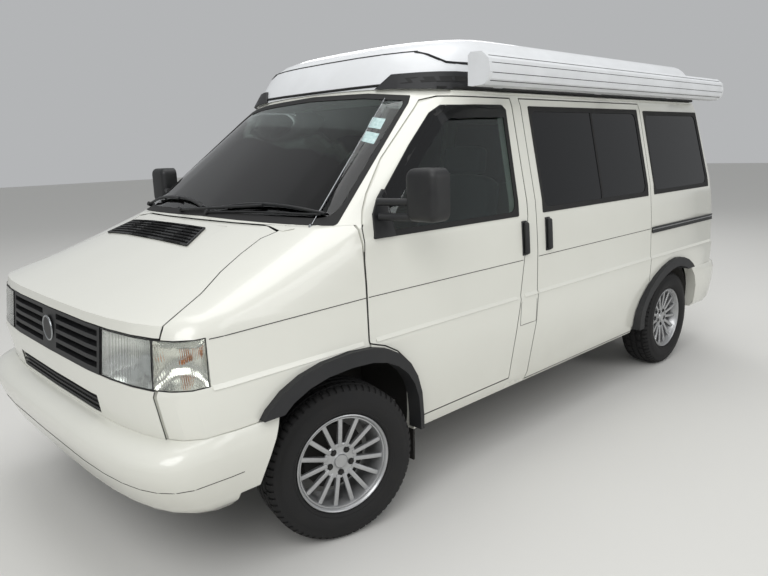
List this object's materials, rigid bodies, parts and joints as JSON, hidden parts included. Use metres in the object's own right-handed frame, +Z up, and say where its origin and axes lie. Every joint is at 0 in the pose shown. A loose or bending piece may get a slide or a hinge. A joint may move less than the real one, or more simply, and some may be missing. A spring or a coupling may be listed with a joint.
{
  "type": "camper van",
  "caption": "Mid-size camper van with a short bonnet, a sliding side door, a rising roof lid, a side awning cassette and right-hand drive.",
  "frame": {"origin": "on the ground under the middle of the overall box", "axes": "-Y is the front of the van, +X its left side, +Z up"},
  "size_m": [2.28, 4.655, 2.045],
  "materials": {
    "body_paint": "solid off-white enamel, glossy",
    "roof_moulding": "white gel-coated glass fibre",
    "awning_paint": "white powder-coated aluminium",
    "charcoal_trim": "dark grey grained plastic",
    "black_trim": "black moulded plastic",
    "tyre": "matt black tread rubber",
    "alloy": "painted cast alloy, slightly dull",
    "dark_glass": "dark tinted window glass",
    "clear_glass": "clear window glass with a green tint",
    "lamp_glass": "ribbed lamp glass over a silver reflector",
    "red_lamp": "red and amber lamp plastic",
    "underbody": "black coated steel, dusty",
    "floor_steel": "grey painted floor steel with mat",
    "seat_cloth": "dark grey woven seat cloth",
    "furniture": "light laminate over plywood",
    "canvas": "grey coated canvas, folded"
  },
  "bodies": {
    "root": {"awning_cassette": "awning_paint", "bulkhead": "underbody", "dashboard": "black_trim", "engine_block": "underbody", "floor_pan": "floor_steel", "front_arch_trim_left": "charcoal_trim", "front_arch_trim_right": "charcoal_trim", "front_bumper": "body_paint", "front_panel": "body_paint", "front_subframe": "underbody", "front_wing_left": "body_paint", "front_wing_right": "body_paint", "headlamp_left": "lamp_glass", "headlamp_right": "lamp_glass", "kitchen_unit": "furniture", "quarter_glass_left": "dark_glass", "quarter_glass_right": "dark_glass", "radiator_grille": "black_trim", "rear_arch_trim_left": "charcoal_trim", "rear_arch_trim_right": "charcoal_trim", "rear_axle": "underbody", "rear_bench": "seat_cloth", "rear_bumper": "body_paint", "roof_band_left": "charcoal_trim", "roof_band_right": "charcoal_trim", "roof_base": "roof_moulding", "roof_canvas": "canvas", "roof_panel": "body_paint", "seat_left": "seat_cloth", "seat_right": "seat_cloth", "side_glass_left": "dark_glass", "side_glass_right": "dark_glass", "side_panel_left": "body_paint", "side_panel_right": "body_paint", "sliding_door": "body_paint", "tail_lamp_left": "red_lamp", "tail_lamp_right": "red_lamp", "windscreen": "clear_glass"},
    "bonnet": {"bonnet": "body_paint"},
    "tailgate": {"tailgate": "body_paint", "tailgate_glass": "dark_glass"},
    "roof_lid": {"roof_lid": "roof_moulding"},
    "steering_wheel": {"steering_wheel": "black_trim"},
    "door_left": {"front_door_left": "body_paint", "front_door_glass_left": "clear_glass", "mirror_left": "black_trim"},
    "steered_left": {"knuckle_left": "underbody"},
    "wheel_front_left": {"tyre_front_left": "tyre", "rim_front_left": "alloy"},
    "wheel_rear_left": {"tyre_rear_left": "tyre", "rim_rear_left": "alloy"},
    "door_right": {"front_door_right": "body_paint", "front_door_glass_right": "clear_glass", "mirror_right": "black_trim"},
    "steered_right": {"knuckle_right": "underbody"},
    "wheel_front_right": {"tyre_front_right": "tyre", "rim_front_right": "alloy"},
    "wheel_rear_right": {"tyre_rear_right": "tyre", "rim_rear_right": "alloy"}
  },
  "joints": [
    {"name": "bonnet", "type": "hinge", "parent": "root", "child": "bonnet", "pos_m": [0, -1.5405, 1.262], "axis": [-1, 0, 0], "range_deg": [0, 45]},
    {"name": "tailgate", "type": "hinge", "parent": "root", "child": "tailgate", "pos_m": [0, 2.1195, 1.7265], "axis": [1, 0, 0], "range_deg": [0, 80]},
    {"name": "roof_lid", "type": "hinge", "parent": "root", "child": "roof_lid", "pos_m": [0, 1.9915, 1.908], "axis": [-1, 0, 0], "range_deg": [0, 22]},
    {"name": "steering_wheel", "type": "hinge", "parent": "root", "child": "steering_wheel", "pos_m": [-0.42, -0.9549, 1.14313], "axis": [0, 0.788, 0.6157], "range_deg": [-340, 740]},
    {"name": "door_left", "type": "hinge", "parent": "root", "child": "door_left", "pos_m": [0.912, -1.3525, 1], "axis": [0, 0, -1], "range_deg": [0, 65]},
    {"name": "steer_left", "type": "hinge", "parent": "root", "child": "steered_left", "pos_m": [0.69, -1.4425, 0.32244], "axis": [0, 0, 1], "range_deg": [-21.8, 48.2]},
    {"name": "wheel_front_left", "type": "hinge", "parent": "steered_left", "child": "wheel_front_left", "pos_m": [0.79174, -1.46636, 0.32244], "axis": [0.9736, -0.2283, 0], "continuous": true},
    {"name": "wheel_rear_left", "type": "hinge", "parent": "root", "child": "wheel_rear_left", "pos_m": [0.777, 1.4775, 0.32244], "axis": [1, 0, 0], "continuous": true},
    {"name": "door_right", "type": "hinge", "parent": "root", "child": "door_right", "pos_m": [-0.912, -1.3525, 1], "axis": [0, 0, 1], "range_deg": [0, 65]},
    {"name": "steer_right", "type": "hinge", "parent": "root", "child": "steered_right", "pos_m": [-0.69, -1.4425, 0.32244], "axis": [0, 0, 1], "range_deg": [-21.8, 48.2]},
    {"name": "wheel_front_right", "type": "hinge", "parent": "steered_right", "child": "wheel_front_right", "pos_m": [-0.79174, -1.41864, 0.32244], "axis": [0.9736, -0.2283, 0], "continuous": true},
    {"name": "wheel_rear_right", "type": "hinge", "parent": "root", "child": "wheel_rear_right", "pos_m": [-0.777, 1.4775, 0.32244], "axis": [1, 0, 0], "continuous": true}
  ],
  "couplings": [
    {"joint": "steer_right", "follows": "steer_left", "ratio": 1},
    {"joint": "steering_wheel", "follows": "steer_left", "ratio": 15}
  ]
}
